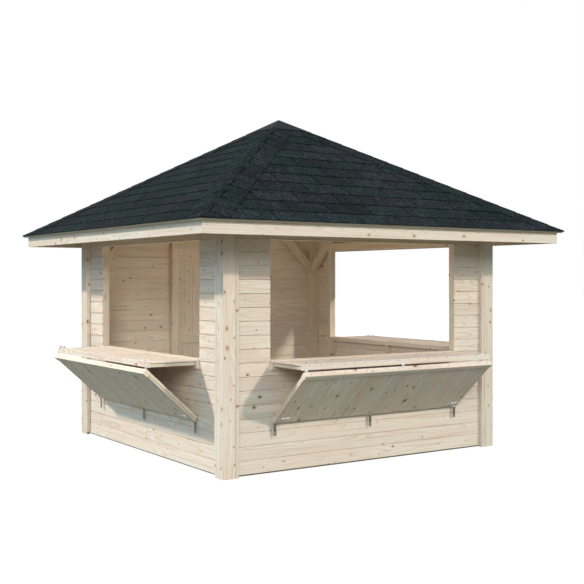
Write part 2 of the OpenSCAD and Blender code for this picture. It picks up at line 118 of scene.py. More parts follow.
CORNER_W, STRIP_W = 0.122, 0.033      # faces of a corner board and of the strip beside it
COVER = 0.120                         # height that one cladding board covers
REBATE = 0.45                         # depth of its joints, as a share of its thickness
JOINT, INNER_JOINT = 0.0066, 0.008    # open height of a joint, outside and inside
TONGUE, TONGUE_FREE = 0.008, 0.0005   # height of a tongue, and the air in front of it
LEAST_BOARD, ROUNDING = 0.004, 1e-6   # no cladding board is lower than this
CLAD_SHORT = 0.020                    # cladding ends this far before the corner
STUD_W, RAIL_H, HEADER_H = 0.045, 0.060, 0.095

SHINGLE_T, ROOF_BOARD_T = 0.008, 0.018
ROOF_COVER, BOARD_GAP = 0.100, 0.002  # width of a roof board, with the gap beside it
BOARD_DROP = 0.0003                   # roof boards below the shingles
EDGE_IN = 0.004                       # the felt and the caps, inside the roof's edges
UNDERLAY_T = 0.0006
COURSE, TAB = 0.200, 0.445            # exposed height and width of a shingle tab
SLOT = 0.012                          # gap between two tabs
COURSE_SHIFT = 0.015                  # the lowest course shows that much less
TAB_STEP, TAB_LAP = 0.0066, 0.010     # fall of a tab's top below the next tab's edge, and its lap
TAB_UNEVEN = 0.0008                   # how far one tab may lie lower than another
COURSE_TONE = 0.45                    # share of a tab's seed that its course gives
CAP_STEP, CAP_W = 0.175, 0.200        # exposed length and half width of a hip cap
CAP_UNEVEN = 0.006                    # change in that half width
CAP_UNDER = 0.020                     # reach of the last caps under the apex cap
CAP_LIFT, CAP_TAIL = 0.0042, 0.0004   # a cap's lower and upper edge above the tabs
CAP_SLOT_AT, CAP_SLOT = 0.031, 0.010  # from the hip to the slot in a cap, and the slot's width
CAP_SLOT_SHADE_H = 0.0012                   # near-black felt strip in that slot, above the roof surface: painted shade of the slot

PANEL_BOARD_T, PANEL_PITCH = 0.018, 0.121    # boards of the counters and struts
COUNTER_RAIL_W, STRUT_RAIL_W = 0.032, 0.050  # face of the rail on a panel's folding edge
RAIL_GAP = 0.007                      # between the boards' ends and that rail
BOARD_SINK, SINK_FROM = 0.006, 0.7    # of the boards behind the rail's face; its least share
FRAME_INSET, FRAME_GAP = 0.006, 0.005  # of a panel's frame, from its boards' ends and undersides
NAIL_R, NAIL_PROUD, NAIL_DEEP, NAIL_SIDES = 0.0042, 0.0004, 0.003, 8
NAIL_WANDER = 0.006                   # of a nail from the middle of its board
COUNTER_NAIL_DROP = 0.010             # of the counter's nails below its top

DOOR_PITCH, STILE_W = 0.111, 0.074
DOOR_RAIL_H, DOOR_TOP_H, DOOR_MID_Z = 0.100, 0.088, 0.950
DOOR_RAIL_GAP = 0.0003

# ---- View and light ---------------------------------------------------------

WHITE = (1.0, 1.0, 1.0)
EYE = (-5.743, -8.867, 1.699)
AZIMUTH = math.radians(33.7)
SENSOR, LENS, SHIFT_Y = 36.0, 61.2, -0.0222
SUNS = {                              # direction of travel, strength, colour, width in degrees
    "sun_front": ((-0.29, 0.50, -0.36), 1.53, (1.0, 0.952, 0.872), 4.0),
    "sun_left": ((0.50, -0.35, -0.56), 2.80, (1.0, 0.945, 0.862), 3.0),
    "fill": ((0.45, 0.57, -0.30), 1.25, (0.87, 0.93, 0.89), 25.0),
}
ROOM_LIGHT, ROOM_COLOUR = 19.0, (1.0, 0.96, 0.83)
ROOM_LAMP, ROOM_LAMP_R = (-0.15, -0.10, 1.35), 0.4
SKY_LEFT, SKY_RIGHT, SKY_STRENGTH = (0.60, 1.22, 1.85), (1.0, 0.94, 0.80), 0.42
FLOOR_HALF, FLOOR_COLOUR, FLOOR_GLOW = 60.0, (0.102, 0.121, 0.095), 0.93

# ---- Patterns of the materials ----------------------------------------------
# Wood: a scale is in cells per metre along, across and into the board, and a reach in metres. A
# fade goes from one value of a pattern to another, and a share is the most that a colour covers.

BOARD_SPREAD = (31.0, 17.0, 5.0)      # how far apart two boards are cut from the patterns
KNOT_SCALE = (5.5, 8.0, 0.0)          # the same at any depth, so that a knot goes through
KNOT_R, KNOT_GROWTH, KNOT_RARITY = 0.027, 0.052, 3.0   # radii in cells; few knots grow
CORE_FADE, RIM_FADE, HALO_FADE = (1.2, 0.7), (1.7, 1.0), (3.6, 0.9)   # in a knot's radii
RIM_SHARE, HALO_SHARE, HALO_BEND = 0.7, 0.45, 0.015    # the halo also bends the rings
RING = 0.013                          # growth rings, wide enough to show
PITH_SIDE, PITH_DEPTH, PITH_DEEPER = 0.12, 0.03, 0.08  # reaches from the board to its pith
DRIFT_SCALE, DRIFT_DETAIL, DRIFT_REACH = (0.8, 1.5, 1.5), 1.5, 0.16
WAVE_SCALE, WAVE_REACH = (4.0, 14.0, 14.0), 0.010
LATE_POWER, LATE_FADE, LATE_SHARE = 4.0, (1.0, 0.93), 0.76
FIBRE_SCALE, FIBRE_TONE = (6.0, 260.0, 260.0), 0.16
STREAK_SCALE, STREAK_FADE, STREAK_SHARE = (1.1, 38.0, 38.0), (0.50, 0.72), 0.40
CLOUD_SCALE, CLOUD_FADE, CLOUD_SHARE = (1.8, 9.0, 9.0), (0.42, 0.66), 0.75
BOARD_TONE, TONE_MIDDLE = 0.12, 0.55  # difference between boards, and its part below 1
WARM_FROM, WARM_CHANGE = 1.03, -0.07  # blue of a board, against its red
WOOD_ROUGH, FIBRE_ROUGH, WOOD_SPECULAR = 0.55, 0.2, 0.25
WOOD_BUMP, WOOD_BUMP_SHARE, LATE_BUMP = 0.0006, 0.6, 0.5

# Shingles: clouds are scale per metre, detail and roughness; lights are factors on the colour.
SHINGLE_GREEN, SHINGLE_GREY = (0.0135, 0.0225, 0.0220), (0.0195, 0.0218, 0.0268)
HUE_CLOUD, BLOTCH_CLOUD = (2.2, 2.0, 0.5), (11.0, 3.0, 0.6)
HUE_BY_TAB, HUE_BY_CLOUD, HUE_FADE = 0.28, 1.05, (0.48, 0.86)
COARSE_GRAIN, FINE_GRAIN = 120.0, 260.0
SPECK_POWER, SPECK_LIGHT, SPECK_FROM = 5.0, 2.0, 0.62  # few coarse granules shine
FINE_LIGHT, FINE_FROM = 1.0, 0.5
BLOTCH_FADE, BLOTCH_LIGHT = (0.35, 0.65), (0.86, 1.12)
TAB_LIGHT, TAB_FROM = 0.44, 0.80
SHINGLE_ROUGH, SHINGLE_SPECULAR = 0.95, 0.02
SHINGLE_BUMP, SHINGLE_BUMP_SHARE = 0.0012, 0.5

# Metal: the clouds are wider than the spangle by this factor.
METAL_CLOUD, METAL_DETAIL, METAL_ROUGH, METAL_SMOOTH = 4, 3.0, 0.15, 0.07
METAL_BUMP, METAL_BUMP_SHARE = 0.0002, 0.3

MIX_A, MIX_B, MIX_OUT = 6, 7, 2       # colour sockets of Blender's Mix node


# ---- Places ----------------------------------------------------------------

def on_side(side):
    """Function from (u, r, z) on that side of the stall to the row frame."""
    turn = Matrix.Rotation(math.radians(TURNS[side]), 3, "Z")
    return lambda u, r, z: turn @ Vector((u, -HALF - r, z))


def on_strut(side):
    """The same for a strut: it is drawn in line with the counter, and stands folded under it."""
    place = on_side(side)
    c, s = math.cos(FOLD), math.sin(FOLD)
    return lambda u, r, z: place(u, FOLD_R + (r - FOLD_R) * c + (z - FOLD_Z) * s,
                                 FOLD_Z - (r - FOLD_R) * s + (z - FOLD_Z) * c)


def on_roof(side):
    """Function from (u, s, h): s is up the slope from the eave, and h is above the roof surface."""
    place = on_side(side)
    c, s = math.cos(SLOPE), math.sin(SLOPE)
    return lambda u, up, h: place(u, ROOF_R - HALF - up * c + h * s, EAVE_Z + up * s + h * c)


# ---- Mesh building ---------------------------------------------------------

class Mesh:
    """Collects closed solids into one mesh. Each solid has its own grain axes and seed."""

    def __init__(self):
        self.points, self.faces, self.grain, self.seeds = [], [], [], []

    def solid(self, rings, grains, seed=None):
        """Solid between two rings of points. A grain point is (along, across, deep) in metres."""
        n, start = len(rings[0]), len(self.points)
        self.points += [*rings[0], *rings[1]]
        self.grain += [*grains[0], *grains[1]]
        self.seeds += [rng.random() if seed is None else seed] * (2 * n)
        self.faces += [[start + i for i in reversed(range(n))], [start + n + i for i in range(n)]]
        for i in range(n):
            j = (i + 1) % n
            self.faces.append([start + i, start + j, start + n + j, start + n + i])

    def prism(self, place, axis, outline, span, seed=None):
        """Runs an outline along u, r or z. Its points lie in the two other axes, in that order."""
        order = {"u": (0, 1, 2), "r": (1, 0, 2), "z": (1, 2, 0)}[axis]
        mid_a = sum(p[0] for p in outline) / len(outline)
        mid_b = sum(p[1] for p in outline) / len(outline)
        mid_l = sum(span) / 2
        wide_a = max(p[0] for p in outline) - min(p[0] for p in outline)
        wide_b = max(p[1] for p in outline) - min(p[1] for p in outline)
        rings, grains = [], []
        for end in span:
            rings.append([])
            grains.append([])
            for a, b in outline:
                spot = (end, a, b)
                rings[-1].append(place(*(spot[k] for k in order)))
                section = (a - mid_a, b - mid_b) if wide_a > wide_b else (b - mid_b, a - mid_a)
                grains[-1].append((end - mid_l, *section))
        self.solid(rings, grains, seed)

    def board(self, place, axis, a, b, span, chamfer=CHAMFER, seed=None):
        """Prism with a rectangular section and chamfered long edges."""
        c = min(chamfer, (a[1] - a[0]) / THIN, (b[1] - b[0]) / THIN)
        outline = [(a[0] + c, b[0]), (a[1] - c, b[0]), (a[1], b[0] + c), (a[1], b[1] - c),
                   (a[1] - c, b[1]), (a[0] + c, b[1]), (a[0], b[1] - c), (a[0], b[0] + c)]
        self.prism(place, axis, outline, span, seed)

    def finish(self, name, material, body="root", slot=None, nodes=()):
        """Makes the object, on a body, in place of the CAD nodes that it replaces. Its slot is not
        used.
        """
        mesh = bpy.data.meshes.new(name)
        mesh.from_pydata([tuple(p) for p in self.points], [], self.faces)
        work = bmesh.new()
        work.from_mesh(mesh)
        bmesh.ops.recalc_face_normals(work, faces=work.faces)
        work.to_mesh(mesh)
        work.free()
        write_grain(mesh, self.grain, self.seeds)
        mesh.materials.append(material)
        obj = bpy.data.objects.new(name, mesh)
        bpy.context.scene.collection.objects.link(obj)
        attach(obj, body)
        if nodes:
            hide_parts(*nodes)
        return obj


def write_grain(mesh, grain, seeds):
    """Stores what the materials read at each vertex."""
    spot = mesh.attributes.new("grain", "FLOAT_VECTOR", "POINT")
    spot.data.foreach_set("vector", np.array(grain, np.float32).ravel())
    seed = mesh.attributes.new("seed", "FLOAT", "POINT")
    seed.data.foreach_set("value", np.array(seeds, np.float32))


def islands(mesh):
    """For each vertex, the number of the solid it belongs to. Corners at one place count as one."""
    places = {}
    same = [places.setdefault(tuple(round(x, SAME_DIGITS) for x in v.co), v.index)
            for v in mesh.vertices]
    parent = list(range(len(same)))

    def root(i):
        while parent[i] != i:
            parent[i] = parent[parent[i]]
            i = parent[i]
        return i

    for polygon in mesh.polygons:
        first = root(same[polygon.vertices[0]])
        for v in polygon.vertices[1:]:
            parent[root(same[v])] = first
    return np.array([root(same[i]) for i in range(len(same))])


def dress_timber(node, material):
    """Gives a CAD node of straight timbers its wood: the grain follows each solid's longest way."""
    obj = frame["nodes"][node]
    mesh = obj.data
    points = np.array([v.co for v in mesh.vertices])
    grain, seeds = np.zeros_like(points), np.zeros(len(points))
    groups = islands(mesh)
    for group in np.unique(groups):
        mine = groups == group
        centred = points[mine] - points[mine].mean(0)
        axes = np.linalg.svd(centred, full_matrices=False)[2]
        grain[mine] = centred @ axes.T
        seeds[mine] = rng.random()
    write_grain(mesh, grain, seeds)
    dress(node, material, TIMBER_BEVEL)


def dress(node, material, bevel):
    """Gives a CAD node a material and soft edges."""
    obj = frame["nodes"][node]
    obj.data.materials.clear()
    obj.data.materials.append(material)
    weld = obj.modifiers.new("weld", "WELD")
    weld.merge_threshold = WELD
    edges = obj.modifiers.new("bevel", "BEVEL")
    edges.width = bevel
    edges.segments = BEVEL_SEGMENTS
    edges.limit_method = "ANGLE"


# ---- Materials -------------------------------------------------------------

class Shader:
    """A material with short names for making its nodes."""

    def __init__(self, name):
        self.material = bpy.data.materials.new(name)
        self.material.use_nodes = True
        self.nodes = self.material.node_tree.nodes
        self.links = self.material.node_tree.links
        self.surface = self.nodes["Principled BSDF"]

    def put(self, socket, value):
        if isinstance(value, bpy.types.NodeSocket):
            self.links.new(value, socket)
        elif hasattr(value, "__len__") and len(value) == 3 and socket.type == "RGBA":
            socket.default_value = (*value, 1)
        else:
            socket.default_value = value

    def node(self, kind, sockets, **settings):
        made = self.nodes.new("ShaderNode" + kind)
        for key, value in settings.items():
            setattr(made, key, value)
        for key, value in sockets.items():
            self.put(made.inputs[key], value)
        return made

    def attribute(self, name):
        return self.node("Attribute", {}, attribute_name=name)

    def math(self, operation, *values):
        made = self.nodes.new("ShaderNodeMath")
        made.operation = operation
        for socket, value in zip(made.inputs, values):
            self.put(socket, value)
        return made.outputs[0]

    def vector(self, operation, a, b):
        made = self.nodes.new("ShaderNodeVectorMath")
        made.operation = operation
        self.put(made.inputs[0], a)
        self.put(made.inputs[1], b)
        return made.outputs[0]

    def around(self, value, reach):
        """A value from 0 to 1, spread over a reach whose middle is 0."""
        return self.math("MULTIPLY_ADD", value, reach, -reach / 2)

    def noise(self, vector, scale=1.0, detail=2.0, roughness=0.5):
        return self.node("TexNoise", {"Vector": vector, "Scale": scale, "Detail": detail,
                                      "Roughness": roughness}).outputs["Fac"]

    def ramp(self, value, low_in, high_in, low_out=0.0, high_out=1.0):
        """Smooth step of a value from one range to another."""
        made = self.node("MapRange", {"Value": value, "From Min": low_in, "From Max": high_in,
                                      "To Min": low_out, "To Max": high_out},
                         interpolation_type="SMOOTHSTEP")
        return made.outputs["Result"]

    def mix(self, factor, a, b, blend="MIX"):
        made = self.node("Mix", {}, data_type="RGBA", blend_type=blend)
        self.put(made.inputs[0], factor)
        self.put(made.inputs[MIX_A], a)
        self.put(made.inputs[MIX_B], b)
        return made.outputs[MIX_OUT]

    def bump(self, height, distance, strength):
        made = self.node("Bump", {"Height": height, "Distance": distance, "Strength": strength})
        self.links.new(made.outputs[0], self.surface.inputs["Normal"])


def wood(name, early, late, blush, rust, knot, knot_share=0.46, knot_size=1.0):
    """Softwood from its rings: every board has its own pith, tone and knots."""
    s = Shader(name)
    grain = s.attribute("grain").outputs["Vector"]
    seed = s.attribute("seed").outputs["Fac"]
    luck = s.node("TexWhiteNoise", {"W": seed}, noise_dimensions="1D")
    own = s.vector("MULTIPLY", luck.outputs["Color"], BOARD_SPREAD)
    spot = s.vector("ADD", grain, own)
    parts = s.node("SeparateXYZ", {"Vector": grain}).outputs
    lucks = s.node("SeparateColor", {"Color": luck.outputs["Color"]}).outputs

    # knots: a few of the cells of a pattern, longer along the grain
    flat = s.vector("MULTIPLY", spot, KNOT_SCALE)
    cells = s.node("TexVoronoi", {"Vector": flat, "Scale": 1.0}, voronoi_dimensions="2D")
    pick = s.node("SeparateColor", {"Color": cells.outputs["Color"]}).outputs
    has_knot = s.math("LESS_THAN", pick["Red"], knot_share)
    knot_r = s.math("MULTIPLY_ADD", s.math("POWER", pick["Green"], KNOT_RARITY),
                    KNOT_GROWTH * knot_size, KNOT_R * knot_size)
    near = s.math("DIVIDE", cells.outputs["Distance"], knot_r)
    core, halo, rim = (s.math("MULTIPLY", s.ramp(near, *fade), has_knot)
                       for fade in (CORE_FADE, HALO_FADE, RIM_FADE))

    # rings round a pith behind the board, bent by slow noise and by the knots
    drift = s.noise(s.vector("MULTIPLY", spot, DRIFT_SCALE), detail=DRIFT_DETAIL)
    wave = s.noise(s.vector("MULTIPLY", spot, WAVE_SCALE))
    across = s.math("ADD", parts["Y"], s.around(lucks["Red"], PITH_SIDE))
    deep = s.math("ADD", parts["Z"],
                  s.math("MULTIPLY_ADD", lucks["Green"], PITH_DEEPER, PITH_DEPTH))
    radius = s.math("SQRT", s.math("ADD", s.math("MULTIPLY", across, across),
                                   s.math("MULTIPLY", deep, deep)))
    radius = s.math("ADD", radius, s.around(drift, DRIFT_REACH))
    radius = s.math("ADD", radius, s.around(wave, WAVE_REACH))
    radius = s.math("ADD", radius, s.math("MULTIPLY", halo, HALO_BEND))
    ring = s.math("FRACT", s.math("DIVIDE", radius, RING))
    late_wood = s.math("MULTIPLY", s.math("POWER", ring, LATE_POWER), s.ramp(ring, *LATE_FADE))

    fibre, streak, cloud = (s.noise(s.vector("MULTIPLY", spot, scale))
                            for scale in (FIBRE_SCALE, STREAK_SCALE, CLOUD_SCALE))
    base = s.mix(s.math("MULTIPLY", late_wood, LATE_SHARE), early, late)
    base = s.mix(s.ramp(cloud, *CLOUD_FADE, 0.0, CLOUD_SHARE), base, blush)
    base = s.mix(s.ramp(streak, *STREAK_FADE, 0.0, STREAK_SHARE), base, late)
    base = s.mix(s.math("MULTIPLY", halo, HALO_SHARE), base, late)
    base = s.mix(s.math("MULTIPLY", rim, RIM_SHARE), base, rust)
    base = s.mix(core, base, knot)

    # tone: lighter or darker by board and fibre, and some boards yellower than others
    shade = s.math("ADD", s.math("MULTIPLY_ADD", lucks["Blue"], BOARD_TONE,
                                 1.0 - TONE_MIDDLE * BOARD_TONE), s.around(fibre, FIBRE_TONE))
    warm = s.math("MULTIPLY_ADD", lucks["Green"], WARM_CHANGE, WARM_FROM)
    half_warm = s.math("MULTIPLY_ADD", warm, 0.5, 0.5)
    tint = s.node("CombineColor", {"Red": shade, "Green": s.math("MULTIPLY", shade, half_warm),
                                   "Blue": s.math("MULTIPLY", shade, warm)})
    s.put(s.surface.inputs["Base Color"], s.mix(1.0, base, tint.outputs[0], "MULTIPLY"))
    s.put(s.surface.inputs["Roughness"], s.math("MULTIPLY_ADD", fibre, FIBRE_ROUGH, WOOD_ROUGH))
    s.put(s.surface.inputs["Specular IOR Level"], WOOD_SPECULAR)
    s.bump(s.math("MULTIPLY_ADD", late_wood, LATE_BUMP, fibre), WOOD_BUMP, WOOD_BUMP_SHARE)
    return s.material


def shingle(name):
    """Mineral granules on bitumen: two hues that change by tab and in soft clouds."""
    s = Shader(name)
    spot = s.node("TexCoord", {}).outputs["Object"]
    seed = s.attribute("seed").outputs["Fac"]
    luck = s.node("TexWhiteNoise", {"W": seed}, noise_dimensions="1D").outputs["Value"]
    cloud, blotch = s.noise(spot, *HUE_CLOUD), s.noise(spot, *BLOTCH_CLOUD)
    grains = [s.node("TexVoronoi", {"Vector": spot, "Scale": scale}).outputs
              for scale in (COARSE_GRAIN, FINE_GRAIN)]
    hue = s.math("ADD", s.math("MULTIPLY", seed, HUE_BY_TAB),
                 s.math("MULTIPLY", cloud, HUE_BY_CLOUD))
    base = s.mix(s.ramp(hue, *HUE_FADE), SHINGLE_GREEN, SHINGLE_GREY)
    coarse, fine = (s.node("SeparateColor", {"Color": grain["Color"]}).outputs["Red"]
                    for grain in grains)
    speck = s.math("MULTIPLY_ADD", s.math("POWER", coarse, SPECK_POWER), SPECK_LIGHT, SPECK_FROM)
    shade = s.math("MULTIPLY", speck, s.math("MULTIPLY_ADD", fine, FINE_LIGHT, FINE_FROM))
    shade = s.math("MULTIPLY", shade, s.ramp(blotch, *BLOTCH_FADE, *BLOTCH_LIGHT))
    shade = s.math("MULTIPLY", shade, s.math("MULTIPLY_ADD", luck, TAB_LIGHT, TAB_FROM))
    grey = s.node("CombineColor", {"Red": shade, "Green": shade, "Blue": shade})
    s.put(s.surface.inputs["Base Color"], s.mix(1.0, base, grey.outputs[0], "MULTIPLY"))
    s.put(s.surface.inputs["Roughness"], SHINGLE_ROUGH)
    s.put(s.surface.inputs["Specular IOR Level"], SHINGLE_SPECULAR)
    height = s.math("ADD", grains[0]["Distance"], grains[1]["Distance"])
    s.bump(height, SHINGLE_BUMP, SHINGLE_BUMP_SHARE)
    return s.material


def metal(name, colour, roughness, metallic=1.0, scale=160.0, spread=0.25, specular=0.15):
    """Metal with a cloudy surface: zinc spangle, or a dull coat on a larger scale."""
    s = Shader(name)
    spot = s.node("TexCoord", {}).outputs["Object"]
    cells = s.node("TexVoronoi", {"Vector": spot, "Scale": scale})
    tone = s.node("SeparateColor", {"Color": cells.outputs["Color"]}).outputs["Red"]
    cloud = s.noise(spot, scale / METAL_CLOUD, METAL_DETAIL)
    mixed = s.math("MULTIPLY", s.math("ADD", tone, cloud), spread / 2)
    darker = tuple(c * (1 - spread) for c in colour)
    s.put(s.surface.inputs["Base Color"], s.mix(mixed, colour, darker))
    s.put(s.surface.inputs["Roughness"],
          s.math("MULTIPLY_ADD", cloud, METAL_ROUGH, roughness - METAL_SMOOTH))
    s.put(s.surface.inputs["Metallic"], metallic)
    s.put(s.surface.inputs["Specular IOR Level"], specular)
    s.bump(cloud, METAL_BUMP, METAL_BUMP_SHARE)
    return s.material


spruce = wood("spruce", early=(0.865, 0.760, 0.640), late=(0.66, 0.41, 0.25),
              blush=(0.86, 0.672, 0.54), rust=(0.50, 0.25, 0.12), knot=(0.20, 0.085, 0.035))
knotty_spruce = wood("knotty_spruce", early=(0.865, 0.765, 0.645), late=(0.66, 0.41, 0.25),
                     blush=(0.86, 0.672, 0.54), rust=(0.55, 0.29, 0.13),
                     knot=(0.34, 0.155, 0.065), knot_share=0.78, knot_size=1.1)
panel_spruce = wood("panel_spruce", early=(0.90, 0.79, 0.67), late=(0.66, 0.41, 0.25),
                    blush=(0.90, 0.69, 0.57), rust=(0.48, 0.24, 0.11), knot=(0.17, 0.07, 0.03),
                    knot_size=1.45)
inner_spruce = wood("inner_spruce", early=(0.81, 0.71, 0.56), late=(0.61, 0.38, 0.24),
                    blush=(0.79, 0.625, 0.48), rust=(0.45, 0.22, 0.10), knot=(0.17, 0.075, 0.03))
base_wood = wood("base_wood", early=(0.30, 0.24, 0.165), late=(0.17, 0.12, 0.07),
                 blush=(0.25, 0.20, 0.13), rust=(0.09, 0.05, 0.025), knot=(0.06, 0.035, 0.02))
shingles = shingle("shingles")
# near-black felt: the underlay under the tabs, and painted shade where it shows in the slots
# between tabs and in the caps' slots
felt_and_slot_shade = metal("felt_and_slot_shade", (0.002, 0.0024, 0.0028), roughness=1.0, metallic=0.0, scale=60.0,
             spread=0.4, specular=0.0)
zinc = metal("zinc", (0.70, 0.71, 0.70), roughness=0.40)
hasp_steel = metal("hasp_steel", (0.13, 0.125, 0.095), roughness=0.42)
nail_steel = metal("nail_steel", (0.07, 0.055, 0.045), roughness=0.6)
dark_coat = metal("dark_coat", (0.0095, 0.0130, 0.0180), roughness=0.7, metallic=0.0, scale=30.0,
                  spread=0.3, specular=0.08)


# ---- Walls -----------------------------------------------------------------

def shiplap(face, back, z0, z1, top):
    """Section of a cladding board: its tongue goes up behind the next board."""
    middle = face - REBATE * (face - back)
    c = CHAMFER
    foot = [(middle, z0), (face - c, z0), (face, z0 + c)]
    if top:
        head = [(face, z1 - c), (face - c, z1), (back, z1)]
    else:
        tongue = middle - TONGUE_FREE
        head = [(face, z1 - JOINT - c), (face - c, z1 - JOINT), (tongue, z1 - JOINT),
                (tongue, z1 + TONGUE), (back, z1 + TONGUE)]
    inside = z0 + TONGUE + INNER_JOINT
    return [*foot, *head, (back, inside), (middle, inside)]


def clad(mesh, place, u, z_from, z_to):
    """Horizontal boards over u between two heights, on one grid for all walls."""
    first = math.floor((z_from - CLAD_Z0) / COVER + ROUNDING)
    z = CLAD_Z0 + first * COVER
    while z < z_to - LEAST_BOARD:
        bottom, end = max(z, z_from), min(z + COVER, z_to)
        section = shiplap(CLAD_FACE, CLAD_BACK, bottom, end, end > z_to - NEAR)
        mesh.prism(place, "u", section, u)
        z += COVER


def wall(side):
    """Cladding and frame of a wall with a window, or with the door at the back."""
    place = on_side(side)
    clad_u = HALF + CLAD_BACK - CLAD_SHORT
    has_hatch = side in HATCHES
    edge = OPENING_U if has_hatch else high("back_header").x
    header_z = HEADER_Z if has_hatch else low("back_header").z
    boards, timbers = Mesh(), Mesh()
    if has_hatch:
        clad(boards, place, (-clad_u, clad_u), CLAD_Z0, SILL_Z0)
    sides_z = SILL_Z0 if has_hatch else CLAD_Z0
    for u in ((-clad_u, -edge), (edge, clad_u)):
        clad(boards, place, u, sides_z, header_z)
    clad(boards, place, (-clad_u, clad_u), header_z, CLAD_Z1)
    replaced = [f"{side}_wall_sides", f"{side}_header"]
    if has_hatch:
        replaced.insert(0, f"{side}_low_wall")
    boards.finish(f"{side}_wall_boards", spruce, slot="spruce_boards", nodes=replaced)

    depth = (WALL_IN, CLAD_BACK)
    for sign in (-1, 1):
        rail_from = edge
        studs = [(POST_U - STUD_W, POST_U)]
        if has_hatch:
            rail_from += STUD_W
            studs.append((edge, rail_from))
        for near, far in studs:
            u = sorted((sign * near, sign * far))
            timbers.board(place, "z", u, depth, (BASE_H, PLATE_Z0))
        u = sorted((sign * rail_from, sign * (POST_U - STUD_W)))
        timbers.board(place, "u", depth, (BASE_H, BASE_H + RAIL_H), u)
    timbers.board(place, "u", depth, (header_z, header_z + HEADER_H), (-edge, edge))
    if has_hatch:
        timbers.board(place, "u", depth, (BASE_H, BASE_H + RAIL_H), (-edge, edge))
        for u in ((-edge, -edge + STUD_W), (-STUD_W / 2, STUD_W / 2), (edge - STUD_W, edge)):
            timbers.board(place, "z", u, depth, (BASE_H + RAIL_H, SILL_Z0))
    timbers.finish(f"{side}_wall_frame", inner_spruce, slot="inner_timber")


def corner_boards():
    """Two mitred boards round each corner, with a narrow strip on either side."""
    mesh = Mesh()
    z = (0.0, CORNER_Z1)
    c = CORNER_CHAMFER
    for side in TURNS:
        place = on_side(side)
        out, back = -HALF, -HALF - CLAD_FACE
        for mirror in (1, -1):
            board = [(out + c, 0), (out + CORNER_W - c, 0), (out + CORNER_W, -c),
                     (out + CORNER_W, CLAD_FACE), (back, CLAD_FACE), (out + c / 2, -c / 2)]
            mesh.prism(place, "z", [(mirror * u, r) for u, r in board], z)
            strip = sorted(mirror * (out + CORNER_W + w) for w in (CORNER_SEAM, STRIP_W))
            mesh.board(place, "z", strip, (CLAD_FACE, 0), z, c)
    mesh.finish("corner_board_set", knotty_spruce, slot="spruce_boards", nodes=["corner_boards"])


# ---- Roof ------------------------------------------------------------------

def clip(polygon, keep):
    """The part of a convex polygon of (u, s) points where keep(u, s) is positive."""
    kept = []
    for p, q in zip(polygon, polygon[1:] + polygon[:1]):
        a, b = keep(*p), keep(*q)
        if a >= 0:
            kept.append(p)
        if (a >= 0) != (b >= 0):
            t = a / (a - b)
            kept.append((p[0] + (q[0] - p[0]) * t, p[1] + (q[1] - p[1]) * t))
    return kept


def in_roof(polygon, margin=0.0, eave=0.0):
    """Clips a polygon to the triangle of one roof side."""
    c = math.cos(SLOPE)
    for keep in (lambda u, s: ROOF_R - s * c - u - margin, lambda u, s: ROOF_R - s * c + u - margin,
                 lambda u, s: s - eave):
        polygon = clip(polygon, keep) if len(polygon) > 2 else []
    return polygon if len(polygon) > 2 else []


def slab(mesh, place, polygon, under, over, seed=None):
    """Solid over a polygon of (u, s) points. Over is a height or a function of the point."""
    if not polygon:
        return
    mid_u = sum(p[0] for p in polygon) / len(polygon)
    mid_s = sum(p[1] for p in polygon) / len(polygon)
    height = over if callable(over) else lambda u, s: over
    rings = [[place(u, s, under) for u, s in polygon],
             [place(u, s, height(u, s)) for u, s in polygon]]
    grains = [[(u - mid_u, s - mid_s, under) for u, s in polygon],
              [(u - mid_u, s - mid_s, height(u, s)) for u, s in polygon]]
    mesh.solid(rings, grains, seed)


def box_2d(u, s):
    """Rectangle of (u, s) points between two u and two s."""
    return [(u[0], s[0]), (u[1], s[0]), (u[1], s[1]), (u[0], s[1])]


def roof_boards(side):
    """Boards along the eaves under the shingles, on the frame's roof board slab."""
    mesh, place = Mesh(), on_roof(side)
    top = -SHINGLE_T - BOARD_DROP
    start = (ROOF_R - BOARD_R) / math.cos(SLOPE)
    length = ROOF_R / math.cos(SLOPE)
    s = start
    while s < length:
        strip = box_2d((-ROOF_R, ROOF_R), (s, s + ROOF_COVER - BOARD_GAP))
        slab(mesh, place, in_roof(strip, eave=start), top - ROOF_BOARD_T, top)
        s += ROOF_COVER
    mesh.finish(f"{side}_roof_boards", inner_spruce, slot="inner_timber",
                nodes=[f"roof_boards_{side}"])


def shingle_tabs(mesh, place):
    """Courses of wedge-shaped tabs. Every other course is shifted by half a tab."""
    length = ROOF_R / math.cos(SLOPE)
    count = math.ceil(length / COURSE)
    for k in range(count):
        s0 = max(0.0, k * COURSE - COURSE_SHIFT)
        s1 = (k + 1) * COURSE - COURSE_SHIFT
        shift = (k % 2) * TAB / 2
        tabs = math.ceil(ROOF_R / TAB) + 1
        course_seed = rng.random()
        for i in range(-tabs, tabs):
            u0 = i * TAB + shift
            lower = rng.uniform(-TAB_UNEVEN, 0.0)

            def over(u, s, s0=s0, lower=lower):
                return lower - TAB_STEP * (s - s0) / COURSE

            tab = box_2d((u0 + SLOT / 2, u0 + TAB - SLOT / 2), (s0, s1 + TAB_LAP))
            seed = COURSE_TONE * course_seed + (1 - COURSE_TONE) * rng.random()
            slab(mesh, place, in_roof(tab), -SHINGLE_T, over, seed)


